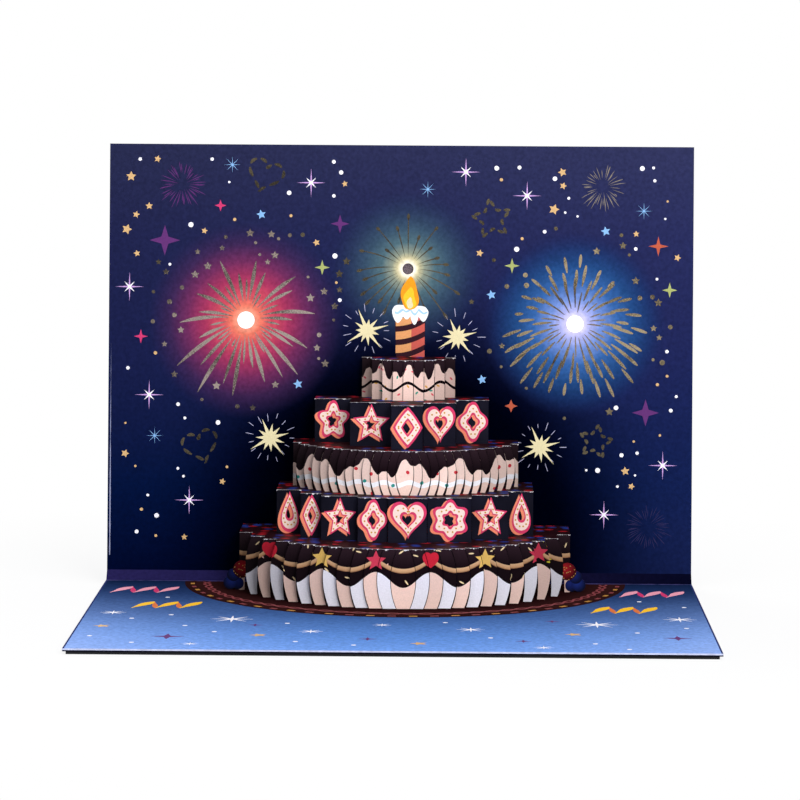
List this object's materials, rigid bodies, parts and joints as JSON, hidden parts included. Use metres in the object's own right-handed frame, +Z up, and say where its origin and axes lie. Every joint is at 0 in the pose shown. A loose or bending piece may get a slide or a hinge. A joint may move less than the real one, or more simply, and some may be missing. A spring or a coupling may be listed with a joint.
{
  "type": "pop up card",
  "caption": "Greeting card standing open, with a tiered cake of folded die-cut slats rising in the fold and lit windows in the printed back panel.",
  "frame": {"origin": "on the table, under the middle of the open card's box", "axes": "+X along the fold to the reader's right, -Y towards the reader, +Z up from the table"},
  "size_m": [0.2, 0.1692, 0.1503],
  "materials": {
    "cover_board": "matte printed board, dark blue",
    "lining_board": "satin print, night sky over a blue table",
    "spacer_board": "grey board, uncoated",
    "cake_paper": "satin print, pink and white slats with dark icing",
    "sign_paper": "satin print, near-black panels with cream figures",
    "diffuser": "milky white, translucent",
    "felt": "dark grey felt",
    "lamp_resin": "water-clear resin",
    "sensor_can": "bright drawn can",
    "circuit": "green solder mask",
    "chip_resin": "black resin",
    "cell_steel": "plated steel",
    "contact_brass": "spring brass",
    "speaker_steel": "zinc-plated steel",
    "cone_film": "clear polyester film",
    "lead_red": "red insulated twin lead"
  },
  "bodies": {
    "root": {"outer_cover": "cover_board", "inner_card": "lining_board", "pocket_frame": "spacer_board", "bottom_tier": "cake_paper", "lower_sign_tier": "sign_paper", "middle_tier": "cake_paper", "upper_sign_tier": "sign_paper", "top_tier": "cake_paper", "light_cap_left": "diffuser", "light_cap_right": "diffuser", "lamp_left": "lamp_resin", "lamp_right": "lamp_resin", "sensor_felt": "felt", "blow_sensor": "sensor_can", "circuit_board": "circuit", "sound_chip": "chip_resin", "coin_cell": "cell_steel", "cell_contact": "contact_brass", "speaker_can": "speaker_steel", "speaker_cone": "cone_film", "lead_lamp_left": "lead_red", "lead_lamp_right": "lead_red", "lead_sensor": "lead_red", "lead_speaker": "lead_red"}
  },
  "joints": []
}
